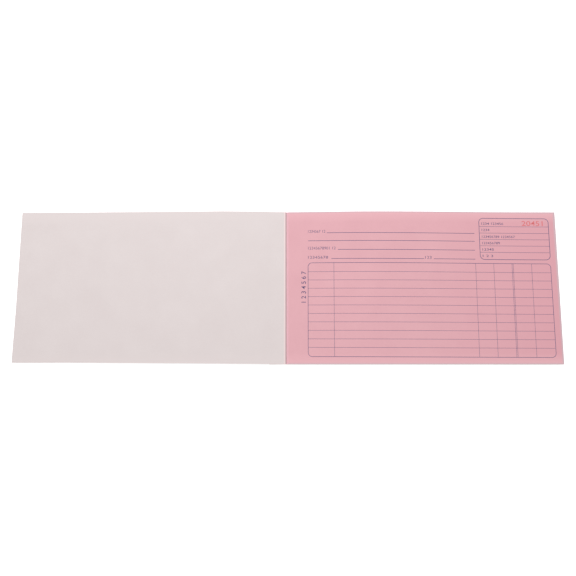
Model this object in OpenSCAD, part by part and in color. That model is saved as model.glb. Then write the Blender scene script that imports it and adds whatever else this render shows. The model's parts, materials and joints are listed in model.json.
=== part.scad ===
// A side-stapled invoice book that lies open on a table.
// X runs across the spread, Y up the page along the fold, Z up.
// The origin is on the table, under the middle of the fold.

/* [Page] */
// Width of a leaf, from the fold to its fore edge
leaf_w = 203.2; // [150:0.1:260]
// Height of every leaf, along the fold
page_h = 114.3; // [90:0.1:200]
// Width of the bound margin, from the fold to the spine edge
margin_w = 12; // [11:0.5:20]

/* [Paper and card] */
// Thickness of one sheet of paper
paper_t = 0.055; // [0.045:0.005:0.1]
// Air between two sheets that lie on each other
sheet_gap = 0.003; // [0.002:0.001:0.01]
// Number of sets, each one pink form over one white copy
set_count = 50; // [25:1:75]
// Thickness of the front cover's card
front_card_t = 0.4; // [0.3:0.05:0.6]
// Thickness of the back cover's board
back_board_t = 0.8; // [0.7:0.05:1.5]

/* [Binding] */
// Thickness of the cloth tape round the spine
tape_t = 0.16; // [0.1:0.02:0.3]
// Reach of the tape over each cover, from the spine edge
tape_lap = 5.5; // [3:0.5:6.5]
// Thickness of the glue film on the spine edge
glue_t = 0.2; // [0.1:0.05:0.5]
// Distance of the staples from the spine edge
staple_inset = 8; // [7:0.5:9]
// Distance between the middles of the two staples
staple_pitch = 60; // [30:1:75]
// Diameter of the staple wire
wire_d = 0.5; // [0.4:0.05:0.6]
// Outside length of a staple's crown
crown_len = 12; // [8:0.5:16]
// Length of each staple end that is bent flat under the board
clinch_len = 4.5; // [2:0.5:5]
// Depth to which a crown is pressed into the front card
crown_sink = 0.2; // [0.1:0.05:0.25]

/* [Fit] */
// Air around the staple wire in what it pierces
pierce_clear = 0.05; // [0.03:0.01:0.1]
// Air between a leaf and the fold line
fold_gap = 0.2; // [0.1:0.05:0.5]
// Air between the opened front cover and the binding under it
turn_clear = 0.15; // [0.1:0.05:0.5]
// Air at the end of the tape's seat in the back board
tape_end_clear = 0.05; // [0.02:0.01:0.2]

/* [Hidden] */
$fn = 48;

// Sets on top whose two sheets are leaves that turn
turning_sets = 4;
// Tiers into which the whole sheets below them are grouped
tier_count = 5;
// Radius of the bends in the staple wire, in wire diameters
bend_ratio = 0.8;
// How far a cut runs past the face that it opens
overcut = 1;

// Heights in the stack
sheet_pitch = paper_t + sheet_gap;
sheet_count = 2 * set_count;
stack_top = back_board_t + sheet_count * sheet_pitch;
card_bottom = stack_top + sheet_gap;
margin_top = card_bottom + front_card_t;

// The binding, measured from the fold towards the left
glue_x = -margin_w - glue_t;
tape_x = glue_x - tape_t;
tape_end_x = -margin_w + tape_lap;
staple_x = -margin_w + staple_inset;
tape_top = margin_top + tape_t;

// A staple's wire, along its centre line
bend_r = bend_ratio * wire_d;
crown_z = margin_top - crown_sink + wire_d / 2;
clinch_z = pierce_clear + wire_d / 2;
leg_y = crown_len / 2 - wire_d / 2;

// The fold axis lies where the opened cover, sloping down to the table, clears the tape and the crowns
axis_over_tape = (tape_top + turn_clear) / (1 + tape_x / leaf_w);
crown_edge_x = staple_x - wire_d / 2;
axis_over_crown = (crown_z + wire_d / 2 + turn_clear) / (1 + crown_edge_x / leaf_w);
fold_z = max(axis_over_tape, axis_over_crown);
cover_slope = asin(fold_z / leaf_w);

// Sheets are counted from the top: even ones are pink forms, odd ones white copies
function sheet_z(k) = back_board_t + sheet_gap + (sheet_count - 1 - k) * sheet_pitch;
function form_of(set) = 2 * (set - 1);
function copy_of(set) = form_of(set) + 1;
function tier_start(tier) = turning_sets + 1 + floor((tier - 1) * (set_count - turning_sets) / tier_count);

// A plate over the page's full height, between two places across the spread
module plate(x0, x1, z0, thickness) {
    translate([x0, -page_h / 2, z0])
        cube([x1 - x0, page_h, thickness]);
}

// A round wire along Y from y0 to y1
module wire_along_y(y0, y1, z, d) {
    translate([0, y0, z])
        rotate([-90, 0, 0])
            cylinder(d = d, h = y1 - y0);
}

// A quarter bend in the YZ plane, its centre at [y, z], starting at the angle from +Y
module wire_bend(y, z, start, d) {
    translate([0, y, z])
        rotate([90, 0, 90])
            rotate([0, 0, start])
                rotate_extrude(angle = 90)
                    translate([bend_r, 0])
                        circle(d = d);
}

// Half of a staple, from the middle of its crown to the end of its clinched wire
module half_staple(d) {
    bend_y = leg_y - bend_r;
    wire_along_y(0, bend_y, crown_z, d);
    wire_bend(bend_y, crown_z - bend_r, 0, d);
    translate([0, leg_y, clinch_z + bend_r])
        cylinder(d = d, h = crown_z - clinch_z - 2 * bend_r);
    wire_bend(bend_y, clinch_z + bend_r, -90, d);
    wire_along_y(bend_y - clinch_len, bend_y, clinch_z, d);
}

module at_each_staple() {
    for (side = [-1, 1])
        translate([staple_x, side * staple_pitch / 2, 0])
            children();
}

module staple(d) {
    half_staple(d);
    mirror([0, 1, 0])
        half_staple(d);
}

// What the wire needs in a card that it is pressed into
module staple_space() {
    at_each_staple()
        staple(wire_d + 2 * pierce_clear);
}

// The four round holes that the legs pierce in a sheet
module leg_holes() {
    at_each_staple()
        for (side = [-1, 1])
            translate([0, side * leg_y, 0])
                cylinder(d = wire_d + 2 * pierce_clear, h = margin_top);
}

// Open grooves in the board's underside, in which the clinched ends lie
module clinch_grooves() {
    groove_w = wire_d + 2 * pierce_clear;
    groove_len = bend_r + clinch_len + wire_d / 2 + 2 * pierce_clear;
    at_each_staple()
        for (side = [0, 1])
            mirror([0, side, 0])
                translate([-groove_w / 2, crown_len / 2 + pierce_clear - groove_len, -clinch_z])
                    cube([groove_w, groove_len, 2 * clinch_z]);
}

// One leaf on the right of the fold, lying on the stack
module leaf(k) {
    plate(fold_gap, leaf_w, sheet_z(k), paper_t);
}

// The bound end of a leaf that turns
module stub(k) {
    difference() {
        plate(-margin_w, 0, sheet_z(k), paper_t);
        staple_space();
    }
}

// A sheet that runs from the spine edge to the fore edge
module whole_sheet(k) {
    difference() {
        plate(-margin_w, leaf_w, sheet_z(k), paper_t);
        leg_holes();
    }
}

// The panel slopes down to the left and rests on the table along its fore edge
module front_cover() {
    color("gainsboro")
        translate([0, 0, fold_z])
            rotate([0, -cover_slope, 0])
                plate(-leaf_w, -fold_gap, 0, front_card_t);
}

module front_cover_margin() {
    color("gainsboro")
        difference() {
            plate(-margin_w, 0, card_bottom, front_card_t);
            staple_space();
        }
}

// The tape is pressed into the board, so that the underside is flush
module back_cover() {
    color("silver")
        difference() {
            plate(-margin_w, leaf_w, 0, back_board_t);
            plate(-margin_w - overcut, tape_end_x + tape_end_clear, -overcut, overcut + tape_t);
            staple_space();
            clinch_grooves();
        }
}

module spine_tape() {
    color("slategray") {
        plate(tape_x, tape_end_x, margin_top, tape_t);
        plate(tape_x, glue_x, 0, tape_top);
        plate(tape_x, tape_end_x, 0, tape_t);
    }
}

module spine_glue() {
    color("ivory")
        plate(glue_x, -margin_w, tape_t, margin_top - tape_t);
}

module staples() {
    color("silver")
        at_each_staple()
            staple(wire_d);
}

module pink_form_stubs() {
    color("pink")
        for (set = [1:turning_sets])
            stub(form_of(set));
}

module white_copy_stubs() {
    color("white")
        for (set = [1:turning_sets])
            stub(copy_of(set));
}

module pink_form(set) {
    color("pink")
        leaf(form_of(set));
}

module white_copy(set) {
    color("white")
        leaf(copy_of(set));
}

module pink_forms_tier(tier) {
    color("pink")
        for (set = [tier_start(tier):tier_start(tier + 1) - 1])
            whole_sheet(form_of(set));
}

module white_copies_tier(tier) {
    color("white")
        for (set = [tier_start(tier):tier_start(tier + 1) - 1])
            whole_sheet(copy_of(set));
}

front_cover();
front_cover_margin();
back_cover();
spine_tape();
spine_glue();
staples();
pink_form_stubs();
white_copy_stubs();
for (set = [1:turning_sets]) {
    pink_form(set);
    white_copy(set);
}
for (tier = [1:tier_count]) {
    pink_forms_tier(tier);
    white_copies_tier(tier);
}
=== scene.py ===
"""Looks of a side-stapled invoice book that lies open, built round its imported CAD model.

Lengths are in millimetres while a piece is shaped, and in metres once it is finished.
"""

import json
import math
from bisect import bisect_right

import bmesh
import bpy
from mathutils import Matrix, Vector


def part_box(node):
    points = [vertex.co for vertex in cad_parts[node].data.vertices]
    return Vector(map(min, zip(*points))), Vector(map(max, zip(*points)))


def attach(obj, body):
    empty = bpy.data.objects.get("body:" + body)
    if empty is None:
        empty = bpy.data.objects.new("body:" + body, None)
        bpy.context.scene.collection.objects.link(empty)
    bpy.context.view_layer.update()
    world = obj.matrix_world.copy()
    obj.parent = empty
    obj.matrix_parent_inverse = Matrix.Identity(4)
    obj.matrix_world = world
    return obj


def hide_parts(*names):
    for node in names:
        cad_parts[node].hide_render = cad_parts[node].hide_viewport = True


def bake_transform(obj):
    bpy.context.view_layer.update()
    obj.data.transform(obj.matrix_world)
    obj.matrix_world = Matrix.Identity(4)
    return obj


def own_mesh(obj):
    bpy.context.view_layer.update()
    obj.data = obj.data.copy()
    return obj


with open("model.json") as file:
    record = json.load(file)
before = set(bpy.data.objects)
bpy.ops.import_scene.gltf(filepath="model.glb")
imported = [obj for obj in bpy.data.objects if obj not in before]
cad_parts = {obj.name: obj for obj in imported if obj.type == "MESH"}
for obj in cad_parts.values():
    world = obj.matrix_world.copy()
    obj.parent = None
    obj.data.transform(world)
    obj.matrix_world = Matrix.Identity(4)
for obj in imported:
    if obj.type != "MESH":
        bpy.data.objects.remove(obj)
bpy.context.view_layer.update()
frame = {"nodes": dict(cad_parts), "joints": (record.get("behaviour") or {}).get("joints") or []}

MM = 0.001


def span(node):
    """Lowest and highest corner of a CAD node, in millimetres."""
    low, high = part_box(node)
    return low / MM, high / MM


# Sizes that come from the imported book
TOP_LOW, TOP_HIGH = span("pink_form_1")
MARGIN_LOW, MARGIN_HIGH = span("front_cover_margin")
LEAF_W = TOP_HIGH.x
PAGE_H = TOP_HIGH.y - TOP_LOW.y
PAPER_T = TOP_HIGH.z - TOP_LOW.z
CARD_T = MARGIN_HIGH.z - MARGIN_LOW.z
COVER_FOLD = next(j for j in frame["joints"] if j["name"] == "cover_fold")
FOLD_Z = COVER_FOLD["pos_m"][2] / MM
COVER_SLOPE = math.asin(FOLD_Z / LEAF_W)

# The leaves that turn, from the top down
SETS = (1, 2, 3, 4)
LEAVES = [f"{kind}_{number}" for number in SETS for kind in ("pink_form", "white_copy")]

# A leaf has a flat first strip at the fold, and its free panel bows up from there
PANEL_START = 0.4
STRIP_STEP = 0.02
# How high the top leaf bows, as places from the fold and the heights there
LEAF_BOW = (
    (PANEL_START, 0.0), (0.9, 0.35), (1.4, 0.7), (2.0, 0.88), (3.6, 0.97), (8.0, 1.04),
    (15.0, 1.4), (19.0, 1.5), (24.0, 1.72), (45.0, 2.95), (67.0, 3.4), (103.0, 3.0),
    (139.0, 1.63), (163.0, 0.85), (187.0, 0.4), (LEAF_W, 0.3),
)
# How far each leaf has slipped at its fore edge, along and across the book
LEAF_SLIP = [
    (0.0, 0.0), (0.0, -0.2), (0.0, 0.15), (0.1, -0.15),
    (-0.08, 0.05), (0.15, 0.1), (0.05, -0.12), (0.12, 0.08),
]
# How far each leaf's lower and upper fore corner reach past the trimmed width
LEAF_TRIM = [
    (-0.22, 0.1), (-0.35, -0.15), (0.15, 0.5), (0.0, 0.1),
    (0.0, 0.0), (0.0, 0.0), (0.0, 0.0), (0.0, 0.0),
]
# Places from the fold where a leaf's panel is cut, so that it can bend: closest at the fold
FINE_STATIONS = [PANEL_START, 0.65, 0.9, 1.15, 1.4, 1.7] + [2.0 + i for i in range(24)]
LONG_STATIONS = [28.0 + 4.0 * i for i in range(44)]
STATIONS = [s for s in FINE_STATIONS + LONG_STATIONS if s < LEAF_W] + [LEAF_W]
# Rows of the panel up the page, and how near to the fore edge a point counts as on it
PANEL_ROWS = 6
EDGE_REACH = 0.1

# The opened cover dips at the fold and bows up beside it, and its fore edge lies a little askew
COVER_BOW = (
    (0.0, -0.45), (4.3, -0.27), (10.0, 0.02), (18.0, 0.97), (24.0, 1.44), (43.0, 2.3), (50.0, 2.45),
    (58.0, 2.3), (73.0, 1.73), (118.0, 0.92), (133.0, 0.75), (165.0, 0.12), (LEAF_W, 0.0),
)
COVER_SKEW = 0.0076
CARD_COLUMNS, CARD_ROWS = 100, 12
# How far its lower fore corner is cut out of square, and how wide of the corner that tells
CORNER_OUT = (-0.55, -0.38)
CORNER_REACH = 45.0
# At the fold the card rounds down over a shoulder to a lip that reaches over the page
SHOULDER_REACH = 1.5
SHOULDER_DROP = 0.39
SHOULDER_CUTS = (0.05, 0.15, 0.3, 0.5, 0.75, 1.05, 1.5, 2.2)
LIP_STEPS = 24
LIP_REACH = 0.35
LIP_T = 0.2
LIP_GAP = 0.03
CREASED_GAP = 0.04

# How far the tape's ends stop short of the page's
TAPE_SHORT = 0.4

# The printed form: ink that stands on the paper, lower in the rows, and the weights of its rules
INK_RISE = 0.0025
ROW_RISE = 0.002
INK_SINK = 0.01
FRAME_RULE = 0.345
ROW_RULE = 0.225
COLUMN_RULE = 0.21
DOUBLE_RULE = 0.23
HEAD_RULE = 0.355
BOX_FRAME_RULE = 0.39
BOX_RULE = 0.24
FRAME_CORNER_STEPS = 8
# How far the print is turned on the page, in radians
PRINT_TILT = 0.0035
# How finely numerals are drawn, and how far their outlines are moved out to make them bolder
NUMERAL_STEPS = 3
PLAIN_BOLD = 0.006
CODE_BOLD = -0.004
BOX_CODE_BOLD = 0.002

# Edges that bend more than this stay sharp, and points closer than this are one
CREASE = math.radians(35)
MERGED = 1e-5


def tint(red, green, blue):
    """A colour as it is seen on a screen, from 0 to 255, for a shader's socket."""
    parts = []
    for part in (red, green, blue):
        part /= 255
        parts.append(part / 12.92 if part <= 0.04045 else ((part + 0.055) / 1.055) ** 2.4)
    return (*parts, 1.0)


# Finishes, whose places are in metres

# The part of a noise that a finish uses
NOISE_CORE = (0.3, 0.7)
# How much of paper's unevenness is clouds, the rest being fibres, and how much its roughness varies
CLOUD_SHARE = 0.45
ROUGH_SWING = 0.06
# Where paper turns to its other colours, from the fold or from the middle of the page
# The fore colour is a painted shade that darkens the paper towards its fore edge
FORE_SHADE_REACH = (0.1, 0.2)
RIM_REACH = (0.049, 0.0556)
# The painted shade line round the paper's free edges, from the fold and from the middle of the page
EDGE_SHADE_END = (0.2017, 0.2026)
EDGE_SHADE_SIDE = (0.0559, 0.0569)
FLAT_FACING = (0.5, 0.9)
# A fold's band is full in this share of its reach
BAND_CORE = 0.3


class Finish:
    """A material on Object coordinates, with its Principled shader and the nodes that feed it."""

    def __init__(self, name, roughness, specular=0.25, metallic=0.0):
        self.material = bpy.data.materials.new(name)
        self.material.use_nodes = True
        self.nodes = self.material.node_tree.nodes
        self.links = self.material.node_tree.links
        self.shader = self.nodes["Principled BSDF"]
        self.shader.inputs["Roughness"].default_value = roughness
        self.shader.inputs["Specular IOR Level"].default_value = specular
        self.shader.inputs["Metallic"].default_value = metallic
        coordinates = self.nodes.new("ShaderNodeTexCoord")
        self.place = coordinates.outputs["Object"]
        self.facing = coordinates.outputs["Normal"]

    def link(self, source, target):
        self.links.new(source, target)

    def size_of(self, vector, axis):
        """How far a place or a facing goes along an axis, to either side."""
        node = self.nodes.new("ShaderNodeSeparateXYZ")
        self.link(vector, node.inputs["Vector"])
        return self.join("ABSOLUTE", node.outputs[axis], 0)

    def stretched(self, scale, turn=(0, 0, 0)):
        node = self.nodes.new("ShaderNodeMapping")
        node.inputs["Scale"].default_value = scale
        node.inputs["Rotation"].default_value = turn
        self.link(self.place, node.inputs["Vector"])
        return node.outputs["Vector"]

    def noise(self, scale, detail=3.0, distortion=0.0, place=None):
        node = self.nodes.new("ShaderNodeTexNoise")
        node.inputs["Scale"].default_value = scale
        node.inputs["Detail"].default_value = detail
        node.inputs["Distortion"].default_value = distortion
        self.link(place or self.place, node.inputs["Vector"])
        return node.outputs["Fac"]

    def spread(self, value, low, high, to_low=0.0, to_high=1.0):
        node = self.nodes.new("ShaderNodeMapRange")
        ends = {"From Min": low, "From Max": high, "To Min": to_low, "To Max": to_high}
        for socket, number in ends.items():
            node.inputs[socket].default_value = number
        self.link(value, node.inputs["Value"])
        return node.outputs["Result"]

    def mix(self, share, first, second):
        """Two colours, each written or linked, mixed by a share from 0 to 1."""
        node = self.nodes.new("ShaderNodeMix")
        node.data_type = "RGBA"
        self.link(share, node.inputs["Factor"])
        # The node's colours are its sockets 6 and 7, and output 2
        for socket, colour in ((node.inputs[6], first), (node.inputs[7], second)):
            if isinstance(colour, tuple):
                socket.default_value = colour
            else:
                self.link(colour, socket)
        return node.outputs[2]

    def join(self, operation, first, second):
        node = self.nodes.new("ShaderNodeMath")
        node.operation = operation
        for socket, value in zip(node.inputs, (first, second)):
            if isinstance(value, (int, float)):
                socket.default_value = value
            else:
                self.link(value, socket)
        return node.outputs["Value"]

    def colour(self, source):
        self.link(source, self.shader.inputs["Base Color"])

    def rough(self, source):
        self.link(source, self.shader.inputs["Roughness"])

    def relief(self, height, distance):
        node = self.nodes.new("ShaderNodeBump")
        node.inputs["Distance"].default_value = distance
        self.link(height, node.inputs["Height"])
        self.link(node.outputs["Normal"], self.shader.inputs["Normal"])


def paper(
    name, pale, deep, grain=0.00002, roughness=0.85,
    fore=None, rim=None, painted_edge_shade=None, painted_fold_bands=(),
):
    """Uncoated paper: cloudy look-through, short fibres and a fine tooth.

    It deepens to the fore colour away from the fold, a painted shade where less light falls, and
    pales to the rim colour along its long edges. Its free edges turn to a painted edge shade, and
    painted bands of light and shade run along its fold.
    """
    finish = Finish(name, roughness)
    cloud = finish.spread(finish.noise(scale=55, detail=4), *NOISE_CORE)
    leaning = finish.stretched((1, 2.6, 1), turn=(0, 0, 0.4))
    fibre = finish.spread(finish.noise(scale=900, detail=5, distortion=1.2, place=leaning), *NOISE_CORE)
    clouds = finish.join("MULTIPLY", cloud, CLOUD_SHARE)
    fibres = finish.join("MULTIPLY", fibre, 1 - CLOUD_SHARE)
    share = finish.join("ADD", clouds, fibres)
    body = finish.mix(share, tint(*deep), tint(*pale))
    from_fold = finish.size_of(finish.place, "X")
    up_page = finish.size_of(finish.place, "Y")
    # Painted shade: darker towards the fore edge, where less light falls
    if fore:
        body = finish.mix(finish.spread(from_fold, *FORE_SHADE_REACH), body, tint(*fore))
    if rim:
        body = finish.mix(finish.spread(up_page, *RIM_REACH), body, tint(*rim))
    # Painted shade: a darker line round the free edges, on faces that look up
    if painted_edge_shade:
        end = finish.spread(from_fold, *EDGE_SHADE_END)
        side = finish.spread(up_page, *EDGE_SHADE_SIDE)
        flat = finish.spread(finish.size_of(finish.facing, "Z"), *FLAT_FACING)
        edge_shade_share = finish.join("MULTIPLY", finish.join("MAXIMUM", end, side), flat)
        body = finish.mix(edge_shade_share, body, tint(*painted_edge_shade))
    # Painted light and shade: bands along the fold
    for middle, reach, colour in painted_fold_bands:
        away = finish.join("ABSOLUTE", finish.join("SUBTRACT", from_fold, middle), 0)
        share = finish.spread(away, BAND_CORE * reach, reach, to_low=1, to_high=0)
        body = finish.mix(share, body, tint(*colour))
    finish.colour(body)
    finish.rough(finish.spread(fibre, 0, 1, roughness - ROUGH_SWING, roughness + ROUGH_SWING))
    finish.relief(fibre, grain)
    return finish.material


def chip_board(name):
    """Grey board of pressed waste paper, with pale and dark flecks."""
    finish = Finish(name, roughness=0.9, specular=0.2)
    cloud = finish.spread(finish.noise(scale=90, detail=5), *NOISE_CORE)
    body = finish.mix(cloud, tint(150, 143, 134), tint(176, 169, 160))
    leaning = finish.stretched((1, 3.2, 1), turn=(0, 0, 0.9))
    dark_flecks = finish.noise(scale=1400, detail=2, distortion=0.8, place=leaning)
    body = finish.mix(finish.spread(dark_flecks, low=0.66, high=0.72), body, tint(96, 90, 84))
    crossing = finish.stretched((2.8, 1, 1), turn=(0, 0, 0.5))
    pale_flecks = finish.noise(scale=1100, detail=2, distortion=0.8, place=crossing)
    body = finish.mix(finish.spread(pale_flecks, low=0.67, high=0.74), body, tint(214, 208, 198))
    finish.colour(body)
    finish.relief(finish.noise(scale=1700, detail=4), distance=0.00003)
    return finish.material


def woven_tape(name):
    """Book cloth: threads over and under, a little worn where they stand proud."""
    finish = Finish(name, roughness=0.75, specular=0.3)
    threads = []
    for direction in ("X", "Y", "Z"):
        wave = finish.nodes.new("ShaderNodeTexWave")
        wave.bands_direction = direction
        wave.inputs["Scale"].default_value = 620
        wave.inputs["Distortion"].default_value = 0.6
        wave.inputs["Detail"].default_value = 1
        finish.link(finish.place, wave.inputs["Vector"])
        threads.append(wave.outputs["Fac"])
    weave = finish.join("MULTIPLY", finish.join("MAXIMUM", threads[0], threads[2]), threads[1])
    wear = finish.spread(finish.noise(scale=160, detail=4), low=0.45, high=0.75)
    body = finish.mix(weave, tint(50, 58, 72), tint(82, 94, 112))
    finish.colour(finish.mix(finish.join("MULTIPLY", wear, weave), body, tint(126, 134, 146)))
    finish.relief(weave, distance=0.00006)
    return finish.material


def zinc_wire(name):
    """Drawn staple wire, with fine marks along it."""
    finish = Finish(name, roughness=0.35, specular=0.5, metallic=1.0)
    drawn = finish.noise(scale=2600, detail=3, place=finish.stretched((1, 0.05, 1)))
    finish.colour(finish.mix(drawn, tint(168, 170, 174), tint(212, 213, 214)))
    finish.rough(finish.spread(drawn, *NOISE_CORE, to_low=0.26, to_high=0.44))
    finish.relief(drawn, distance=0.000008)
    return finish.material


def dry_glue(name):
    finish = Finish(name, roughness=0.4, specular=0.5)
    cloud = finish.spread(finish.noise(scale=240, detail=4, distortion=0.5), *NOISE_CORE)
    finish.colour(finish.mix(cloud, tint(214, 200, 160), tint(236, 226, 196)))
    finish.relief(cloud, distance=0.00008)
    return finish.material


def press_ink(name, full, worn):
    """Printing ink that the paper's tooth breaks up."""
    finish = Finish(name, roughness=0.7)
    tooth = finish.spread(finish.noise(scale=2200, detail=3, distortion=0.4), low=0.35, high=0.75)
    finish.colour(finish.mix(tooth, tint(*full), tint(*worn)))
    finish.relief(tooth, distance=0.000004)
    return finish.material


# Along its crease the paper is painted paler, as light where the cover's lip shades the page. The card
# has a painted highlight on its bend, and beside the page a painted shade line, pinkish with bounced
# light.
# A band has its middle, its reach to either side and its colour
PAPER_PAINTED_LIGHT_BAND = (0.001, 0.0009, (243, 195, 205))
CARD_PAINTED_HIGHLIGHT_BAND = (0.0011, 0.0005, (246, 226, 224))
CARD_PAINTED_SHADE_BAND = (0.00042, 0.0004, (210, 179, 182))
# The pink paper is painted darker towards its fore edge and round its free edges, as shade, with a
# painted lighter band along its fold
PINK_PAPER = paper(
    "pink_paper", (232, 179, 186), (224, 170, 178), fore=(226, 168, 177), rim=(235, 182, 189),
    painted_edge_shade=(214, 184, 190), painted_fold_bands=(PAPER_PAINTED_LIGHT_BAND,),
)
# The white paper has painted shade round its free edges
WHITE_PAPER = paper("white_paper", (244, 242, 239), (235, 232, 228), painted_edge_shade=(214, 208, 204))
# The card's inside has a painted highlight on its bend and a painted shade line beside the page
CARD_INSIDE = paper(
    "cover_card_inside", (229, 219, 218), (223, 212, 211), grain=0.00003, rim=(228, 217, 216),
    painted_fold_bands=(CARD_PAINTED_HIGHLIGHT_BAND, CARD_PAINTED_SHADE_BAND),
)
CARD_OUTSIDE = paper(
    "cover_card_outside", (236, 231, 226), (227, 221, 215), grain=0.000015, roughness=0.5
)
BACK_BOARD = chip_board("grey_back_board")
SPINE_TAPE = woven_tape("slate_spine_tape")
SPINE_GLUE = dry_glue("spine_glue")
STAPLE_WIRE = zinc_wire("staple_wire")
FORM_INK = press_ink("form_ink", (88, 79, 116), (106, 96, 132))
NUMBER_INK = press_ink("number_ink", (222, 110, 113), (230, 140, 143))


# Shaping


def add_plate(bm, low, high):
    """Adds a box between two corners."""
    size = Vector(high) - Vector(low)
    middle = (Vector(high) + Vector(low)) / 2
    bmesh.ops.create_cube(bm, size=1, matrix=Matrix.Translation(middle) @ Matrix.Diagonal((*size, 1)))


def plate(low, high):
    bm = bmesh.new()
    add_plate(bm, low, high)
    return bm


def add_shape(bm, shape):
    """Adds a shape to another, and frees it."""
    mesh = bpy.data.meshes.new("added_shape")
    shape.to_mesh(mesh)
    shape.free()
    bm.from_mesh(mesh)
    bpy.data.meshes.remove(mesh)


def cut_across(bm, places, axis=0):
    """Cuts the mesh by planes across an axis, so that it can bend there."""
    normal = Vector((0, 0, 0))
    normal[axis] = 1
    for place in places:
        geometry = bm.verts[:] + bm.edges[:] + bm.faces[:]
        bmesh.ops.bisect_plane(bm, geom=geometry, dist=MERGED, plane_co=normal * place, plane_no=normal)


def steps_between(start, end, count):
    return [start + (end - start) * i / count for i in range(1, count)]


def finished(name, bm, *materials):
    """Makes the shaped mesh an object in metres, smooth but for its sharp edges."""
    bmesh.ops.recalc_face_normals(bm, faces=bm.faces)
    for face in bm.faces:
        face.smooth = True
    for edge in bm.edges:
        edge.smooth = edge.calc_face_angle(0) < CREASE
    bmesh.ops.scale(bm, vec=(MM, MM, MM), verts=bm.verts)
    mesh = bpy.data.meshes.new(name)
    bm.to_mesh(mesh)
    bm.free()
    for material in materials:
        mesh.materials.append(material)
    piece = bpy.data.objects.new(name, mesh)
    bpy.context.scene.collection.objects.link(piece)
    return piece


# The leaves


def along(points, u):
    """The height at u on a smooth line through points, which starts level."""
    last = len(points) - 1
    u = max(u, points[0][0])
    slopes = [0.0]
    for i in range(1, last + 1):
        (u0, height0), (u1, height1) = points[i - 1], points[min(i + 1, last)]
        slopes.append((height1 - height0) / (u1 - u0))
    i = min(max(bisect_right([place for place, _ in points], u) - 1, 0), last - 1)
    (u0, height0), (u1, height1) = points[i], points[i + 1]
    run = u1 - u0
    t = (u - u0) / run
    start = (1 + 2 * t) * height0 + t * run * slopes[i]
    end = (3 - 2 * t) * height1 - (1 - t) * run * slopes[i + 1]
    return (1 - t) ** 2 * start + t ** 2 * end


def leaf_lift(u, order):
    """How far a leaf stands above its flat place at u from the fold; order 0 is the top leaf."""
    return (1 - order / len(LEAVES)) * along(LEAF_BOW, u)


def lift_on_paper(u, lifts):
    """The lift between two stations, where the panel's mesh is straight."""
    i = min(max(bisect_right(STATIONS, u) - 1, 0), len(STATIONS) - 2)
    share = (u - STATIONS[i]) / (STATIONS[i + 1] - STATIONS[i])
    return lifts[i] + (lifts[i + 1] - lifts[i]) * share


def lay_on_leaf(bm, order, low_z):
    """Moves what is flat on a leaf, or the leaf's own panel, to the bowed and slipped leaf."""
    lifts = [leaf_lift(s, order) for s in STATIONS]
    slip_x, slip_y = LEAF_SLIP[order]
    for vert in bm.verts:
        u = vert.co.x
        run = (u - PANEL_START) / (LEAF_W - PANEL_START)
        vert.co += Vector((slip_x * run, slip_y * run, low_z + lift_on_paper(u, lifts)))


def press_flat(piece, body):
    """A bowed leaf rides on its body."""
    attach(piece, body)
    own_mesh(piece)


def make_leaf(name, order, paper_finish):
    low, high = span(name)
    panel = plate((PANEL_START, low.y, 0), (LEAF_W, high.y, PAPER_T))
    cut_across(panel, STATIONS[1:-1])
    cut_across(panel, steps_between(low.y, high.y, PANEL_ROWS), axis=1)
    lower, upper = LEAF_TRIM[order]
    for vert in panel.verts:
        if vert.co.x > LEAF_W - EDGE_REACH:
            vert.co.x += lower + (upper - lower) * (vert.co.y - low.y) / PAGE_H
    lay_on_leaf(panel, order, low.z)
    panel = finished(f"{name}_panel", panel, paper_finish)
    press_flat(panel, name)
    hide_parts(name)

    strip = plate((0, low.y, low.z), (PANEL_START, high.y, high.z))
    cut_across(strip, steps_between(0, PANEL_START, round(PANEL_START / STRIP_STEP)))
    strip = finished(f"{name}_fold_strip", strip, paper_finish)
    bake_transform(strip)


# The printed form, in u from the fold and v from the page's lower edge


def rule(bm, u0, v0, u1, v1, weight, rise=INK_RISE):
    """A ruled line of that weight, along the page or up it."""
    half = weight / 2
    across, up = (0, half) if u1 - u0 > v1 - v0 else (half, 0)
    add_plate(bm, (u0 - across, v0 - up, -INK_SINK), (u1 + across, v1 + up, rise))


def rounded_frame(bm, u0, v0, u1, v1, radius, weight):
    """A frame with round corners, its outside at the given edges."""
    ring = bmesh.new()
    place = Matrix.Translation(((u0 + u1) / 2, (v0 + v1) / 2, -INK_SINK))
    size = Matrix.Diagonal(((u1 - u0) / 2, (v1 - v0) / 2, 1, 1))
    bmesh.ops.create_grid(ring, x_segments=1, y_segments=1, size=1, matrix=place @ size)
    bmesh.ops.bevel(
        ring, geom=ring.verts[:], offset=radius, offset_type="OFFSET", affect="VERTICES",
        segments=FRAME_CORNER_STEPS, profile=0.5, material=-1,
    )
    inside = ring.faces[:]
    bmesh.ops.inset_region(
        ring, faces=inside, thickness=weight, use_boundary=True, use_even_offset=True
    )
    bmesh.ops.delete(ring, geom=inside, context="FACES")
    raised = bmesh.ops.extrude_face_region(ring, geom=ring.faces[:])["geom"]
    top = [part for part in raised if isinstance(part, bmesh.types.BMVert)]
    bmesh.ops.translate(ring, vec=(0, 0, INK_RISE + INK_SINK), verts=top)
    add_shape(bm, ring)


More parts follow.
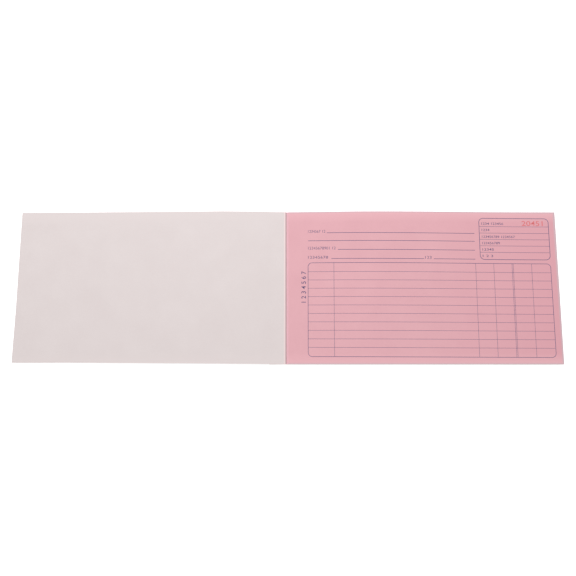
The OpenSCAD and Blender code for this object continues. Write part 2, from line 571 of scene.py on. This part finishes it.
def numerals(bm, text, u0, v0, u1, v1, bold=PLAIN_BOLD, upward=False):
    """Plain numerals that fill a rectangle, along the page or reading up it."""
    writing = bpy.data.curves.new("numerals", "FONT")
    writing.body = text
    writing.resolution_u = NUMERAL_STEPS
    writing.offset = bold
    # Any depth will do, because the numerals are fitted to the ink's height below
    writing.extrude = 0.5
    holder = bpy.data.objects.new("numerals", writing)
    mesh = bpy.data.meshes.new_from_object(holder)
    bpy.data.objects.remove(holder)
    bpy.data.curves.remove(writing)
    glyphs = bmesh.new()
    glyphs.from_mesh(mesh)
    bpy.data.meshes.remove(mesh)
    bmesh.ops.remove_doubles(glyphs, verts=glyphs.verts, dist=MERGED)
    low = Vector([min(v.co[i] for v in glyphs.verts) for i in range(3)])
    high = Vector([max(v.co[i] for v in glyphs.verts) for i in range(3)])
    length, height = (v1 - v0, u1 - u0) if upward else (u1 - u0, v1 - v0)
    wide, tall, deep = high - low
    fit = Matrix.Diagonal((length / wide, height / tall, (INK_RISE + INK_SINK) / deep, 1))
    if upward:
        place = Matrix.Translation((u1, v0, -INK_SINK)) @ Matrix.Rotation(math.pi / 2, 4, "Z")
    else:
        place = Matrix.Translation((u0, v0, -INK_SINK))
    glyphs.transform(place @ fit @ Matrix.Translation(-low))
    add_shape(bm, glyphs)


TABLE = (16.25, 5.1, 198.15, 75.03)
TABLE_RADIUS = 3.2
FIRST_ROW, ROW_PITCH, ROW_COUNT = 11.95, 6.242, 10
COLUMNS = (35.6, 141.5, 155.2, 183.67)
DOUBLE_COLUMN = (168.95, 169.85)
HEAD_LINES = (
    (30.5, 141.6, 97.75), (16.55, 141.6, 91.7), (38.7, 141.5, 84.88),
    (33.8, 102.9, 78.05), (110.15, 141.5, 78.05),
)
# Plain counting numerals before the head lines, up the table's side and in the box
HEAD_CODES = (
    ("1234567 12", 16.45, 29.4, 97.8), ("12345678901 12", 16.45, 37.0, 84.95),
    ("12345678", 16.45, 31.3, 77.95), ("123", 103.7, 108.45, 77.95),
)
CODE_HEIGHT = 2.1
SIDE_CODE = ("1 2 3 4 5 6 7", 11.45, 45.0, 14.85, 68.45)
BOX = (145.1, 77.7, 198.3, 109.77)
BOX_RADIUS = 3.4
BOX_LINES = (103.22, 98.15, 93.25, 88.35, 83.37)
BOX_CODES = (
    ("1234 123456", 16.6, 104.55), ("1234", 5.9, 99.65), ("123456789 1234567", 25.0, 94.45),
    ("123456789", 13.4, 89.55), ("12345", 8.6, 84.65), ("1 2 3", 7.8, 79.75),
)
BOX_CODE_START = 147.2
BOX_CODE_HEIGHT = 1.8
NUMBER_PLACE = (177.9, 103.9, 193.9, 107.8)
FIRST_NUMBER = 20451


def settled(bm, name):
    """Turns a print to the tilt it has on the page, and cuts it where the paper bends."""
    middle = (LEAF_W / 2, PAGE_H / 2, 0)
    bmesh.ops.rotate(bm, cent=middle, matrix=Matrix.Rotation(-PRINT_TILT, 3, "Z"), verts=bm.verts)
    bmesh.ops.translate(bm, vec=(0, -PAGE_H / 2, 0), verts=bm.verts)
    cut_across(bm, STATIONS[1:-1])
    mesh = bpy.data.meshes.new(name)
    bm.to_mesh(mesh)
    bm.free()
    return mesh


def form_print():
    """The ruling of one form: a table, head lines, a box and the codes beside them."""
    bm = bmesh.new()
    u0, v0, u1, v1 = TABLE
    rounded_frame(bm, u0, v0, u1, v1, TABLE_RADIUS, FRAME_RULE)
    for row in range(ROW_COUNT):
        v = FIRST_ROW + row * ROW_PITCH
        rule(bm, u0 + FRAME_RULE, v, u1 - FRAME_RULE, v, ROW_RULE, ROW_RISE)
    for places, weight in ((COLUMNS, COLUMN_RULE), (DOUBLE_COLUMN, DOUBLE_RULE)):
        for u in places:
            rule(bm, u, v0 + FRAME_RULE, u, v1 - FRAME_RULE, weight)
    for start, end, v in HEAD_LINES:
        rule(bm, start, v, end, v, HEAD_RULE)
    for text, start, end, v in HEAD_CODES:
        numerals(bm, text, start, v, end, v + CODE_HEIGHT, CODE_BOLD)
    text, *place = SIDE_CODE
    numerals(bm, text, *place, upward=True)
    u0, v0, u1, v1 = BOX
    rounded_frame(bm, u0, v0, u1, v1, BOX_RADIUS, BOX_FRAME_RULE)
    for v in BOX_LINES:
        rule(bm, u0 + BOX_FRAME_RULE, v, u1 - BOX_FRAME_RULE, v, BOX_RULE)
    for text, length, v in BOX_CODES:
        end = BOX_CODE_START + length
        numerals(bm, text, BOX_CODE_START, v, end, v + BOX_CODE_HEIGHT, BOX_CODE_BOLD)
    return settled(bm, "form_print")


def number_print(number):
    bm = bmesh.new()
    numerals(bm, str(number), *NUMBER_PLACE)
    return settled(bm, "number_print")


def printed(name, ruling, number, low_z, order=None):
    """The ink on one sheet, in two colours; without an order the sheet is flat."""
    bm = bmesh.new()
    bm.from_mesh(ruling)
    ruled = len(bm.faces)
    bm.from_mesh(number)
    bm.faces.ensure_lookup_table()
    for face in bm.faces[ruled:]:
        face.material_index = 1
    if order is None:
        bmesh.ops.translate(bm, vec=(0, 0, low_z + PAPER_T), verts=bm.verts)
    else:
        bmesh.ops.translate(bm, vec=(0, 0, PAPER_T), verts=bm.verts)
        lay_on_leaf(bm, order, low_z)
    return finished(f"{name}_print", bm, FORM_INK, NUMBER_INK)


ruling = form_print()
for order, name in enumerate(LEAVES):
    if name.startswith("pink"):
        make_leaf(name, order, PINK_PAPER)
    else:
        make_leaf(name, order, WHITE_PAPER)
    number = number_print(FIRST_NUMBER + order // 2)
    low_z = span(name)[0].z
    press_flat(printed(name, ruling, number, low_z, order), name)

# The form under the leaves is the top sheet of the first tier
block_top = span("pink_forms_tier_1")[1].z
fifth_number = number_print(FIRST_NUMBER + len(SETS))
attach(printed("pink_forms_tier_1_top", ruling, fifth_number, block_top - PAPER_T), "bound_block")


# The front cover


def eased(share):
    """A share that starts and ends smoothly, and stays between 0 and 1."""
    share = min(max(share, 0), 1)
    return share ** 2 * (3 - 2 * share)


def cover_lift(u):
    """How far the opened cover bows above its straight place, at u from the fold."""
    near = max(1 - u / SHOULDER_REACH, 0)
    return along(COVER_BOW, u) - SHOULDER_DROP * (1 - math.sqrt(1 - near ** 2))


def make_cover():
    half = PAGE_H / 2
    card = plate((-LEAF_W, -half, 0), (0, half, CARD_T))
    cut_across(card, [-u for u in (*SHOULDER_CUTS, *steps_between(0, LEAF_W, CARD_COLUMNS))])
    cut_across(card, steps_between(-half, half, CARD_ROWS), axis=1)
    for face in card.faces:
        if face.calc_center_median().z < CARD_T / 4:
            face.material_index = 1
    for vert in card.verts:
        u = -vert.co.x
        near = eased(1 - (LEAF_W - u) / CORNER_REACH) * eased(1 - (vert.co.y + half) / CORNER_REACH)
        vert.co += Vector((CORNER_OUT[0] * near, COVER_SKEW * u + CORNER_OUT[1] * near, cover_lift(u)))
    turn = Matrix.Rotation(-COVER_SLOPE, 4, "Y")
    card.transform(Matrix.Translation((0, 0, FOLD_Z)) @ turn)
    for vert in card.verts:
        if vert.co.x > -SHOULDER_REACH:
            vert.co.z = max(vert.co.z, MARGIN_HIGH.z + CREASED_GAP)
    card = finished("front_cover_card", card, CARD_INSIDE, CARD_OUTSIDE)
    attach(card, "front_cover")
    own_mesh(card)
    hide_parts("front_cover")


def make_cover_crease():
    """The card's inside runs round from the bound margin to the fold axis, where the panel turns."""
    panel_top = FOLD_Z + cover_lift(0) + CARD_T
    middle = (panel_top + MARGIN_LOW.z) / 2
    outer = panel_top - middle
    inner = outer - LIP_T
    lip = plate((0, MARGIN_LOW.y, inner), (math.pi, MARGIN_HIGH.y, outer))
    cut_across(lip, steps_between(0, math.pi, LIP_STEPS))
    for face in lip.faces:
        if face.calc_center_median().z < outer - LIP_T / 4:
            face.material_index = 1
    for vert in lip.verts:
        angle, radius = vert.co.x, vert.co.z
        vert.co.x = LIP_GAP + (LIP_REACH - LIP_GAP) * radius / outer * math.sin(angle)
        vert.co.z = middle - radius * math.cos(angle)
    # The lip takes the card's inside finish, with its painted shade line
    lip = finished("front_cover_crease", lip, CARD_INSIDE, CARD_OUTSIDE)
    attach(lip, "bound_block")


def make_tape():
    """The tape round the spine, cut a little short, so that the opened cover hides its ends."""
    low, high = span("spine_tape")
    thick = high.z - MARGIN_HIGH.z
    y0, y1 = low.y + TAPE_SHORT, high.y - TAPE_SHORT
    tape = plate((low.x, y0, low.z), (high.x, y1, low.z + thick))
    add_plate(tape, (low.x, y0, low.z + thick), (low.x + thick, y1, high.z - thick))
    add_plate(tape, (low.x, y0, high.z - thick), (high.x, y1, high.z))
    tape = finished("spine_tape_cloth", tape, SPINE_TAPE)
    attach(tape, "bound_block")
    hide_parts("spine_tape")


make_cover()
make_cover_crease()
make_tape()

# CAD nodes that keep their shape
CAD_FINISHES = {
    "front_cover_margin": CARD_OUTSIDE,
    "back_cover": BACK_BOARD,
    "spine_glue": SPINE_GLUE,
    "staples": STAPLE_WIRE,
}
for name, node in frame["nodes"].items():
    finish = CAD_FINISHES.get(name) or (PINK_PAPER if name.startswith("pink") else WHITE_PAPER)
    node.data.materials.clear()
    node.data.materials.append(finish)


# The table, the light and the camera


def seen_directly(nodes, links):
    """1 for rays that show the background itself: from the camera, in gloss or through glass."""
    path = nodes.new("ShaderNodeLightPath")
    shown = path.outputs["Is Camera Ray"]
    for ray in ("Is Glossy Ray", "Is Transmission Ray"):
        either = nodes.new("ShaderNodeMath")
        either.operation = "MAXIMUM"
        links.new(shown, either.inputs[0])
        links.new(path.outputs[ray], either.inputs[1])
        shown = either.outputs["Value"]
    return shown


# The table and the lamp, in metres and watts
FLOOR_HALF = 3.0
FLOOR_DROP = 0.00005
FLOOR_GREY = (0.9, 0.9, 0.9, 1)
FLOOR_GLOW = 0.6
WHITE = (1, 1, 1, 1)
AMBIENT = 0.7
LAMP_PLACE = (-0.08, 0.45, 0.55)
LAMP_SIZE = 0.5
LAMP_WATTS = 2.27
# The camera, in degrees, millimetres and pixels of the photograph's square frame
CAMERA_RISE = 81.64
CAMERA_DISTANCE = 440.82
CAMERA_AIM = (1.49, 0.175, 0)
CAMERA_FOCUS = 583.0
FRAME_SIDE = 576
SENSOR = 36
NEAREST = 10


def make_floor():
    bm = bmesh.new()
    bmesh.ops.create_grid(bm, x_segments=1, y_segments=1, size=FLOOR_HALF)
    bmesh.ops.translate(bm, vec=(0, 0, -FLOOR_DROP), verts=bm.verts)
    mesh = bpy.data.meshes.new("table_top")
    bm.to_mesh(mesh)
    bm.free()
    material = bpy.data.materials.new("pale_table")
    material.use_nodes = True
    nodes, links = material.node_tree.nodes, material.node_tree.links
    nodes.clear()
    diffuse = nodes.new("ShaderNodeBsdfDiffuse")
    diffuse.inputs["Color"].default_value = FLOOR_GREY
    glow = nodes.new("ShaderNodeEmission")
    shown = nodes.new("ShaderNodeMath")
    shown.operation = "MULTIPLY"
    shown.inputs[1].default_value = FLOOR_GLOW
    links.new(seen_directly(nodes, links), shown.inputs[0])
    links.new(shown.outputs["Value"], glow.inputs["Strength"])
    both = nodes.new("ShaderNodeAddShader")
    links.new(diffuse.outputs["BSDF"], both.inputs[0])
    links.new(glow.outputs["Emission"], both.inputs[1])
    out = nodes.new("ShaderNodeOutputMaterial")
    links.new(both.outputs["Shader"], out.inputs["Surface"])
    mesh.materials.append(material)
    floor = bpy.data.objects.new("table_top", mesh)
    bpy.context.scene.collection.objects.link(floor)


def make_world():
    world = bpy.data.worlds.new("white_room")
    bpy.context.scene.world = world
    world.use_nodes = True
    nodes, links = world.node_tree.nodes, world.node_tree.links
    nodes.clear()
    ambient = nodes.new("ShaderNodeBackground")
    ambient.inputs["Strength"].default_value = AMBIENT
    ambient.inputs["Color"].default_value = WHITE
    white = nodes.new("ShaderNodeBackground")
    white.inputs["Color"].default_value = WHITE
    mix = nodes.new("ShaderNodeMixShader")
    links.new(seen_directly(nodes, links), mix.inputs["Fac"])
    links.new(ambient.outputs["Background"], mix.inputs[1])
    links.new(white.outputs["Background"], mix.inputs[2])
    out = nodes.new("ShaderNodeOutputWorld")
    links.new(mix.outputs["Shader"], out.inputs["Surface"])


def make_lamp(name, place, size, watts):
    light = bpy.data.lights.new(name, "AREA")
    light.shape = "SQUARE"
    light.size = size
    light.energy = watts
    lamp = bpy.data.objects.new(name, light)
    lamp.location = place
    lamp.rotation_euler = (-Vector(place)).to_track_quat("-Z", "Y").to_euler()
    bpy.context.scene.collection.objects.link(lamp)


def make_camera():
    """Looks down on the fold from where the photograph was taken."""
    rise = math.radians(CAMERA_RISE)
    data = bpy.data.cameras.new("camera")
    data.sensor_fit = "HORIZONTAL"
    data.sensor_width = SENSOR
    data.lens = SENSOR * CAMERA_FOCUS / FRAME_SIDE
    data.clip_start = NEAREST * MM
    camera = bpy.data.objects.new("camera", data)
    forward = Vector((0, math.cos(rise), -math.sin(rise)))
    camera.location = (Vector(CAMERA_AIM) - CAMERA_DISTANCE * forward) * MM
    camera.rotation_euler = forward.to_track_quat("-Z", "Y").to_euler()
    bpy.context.scene.collection.objects.link(camera)
    bpy.context.scene.camera = camera


make_floor()
make_world()
make_lamp("soft_lamp", LAMP_PLACE, LAMP_SIZE, LAMP_WATTS)
make_camera()
bpy.context.scene.view_settings.view_transform = "Standard"
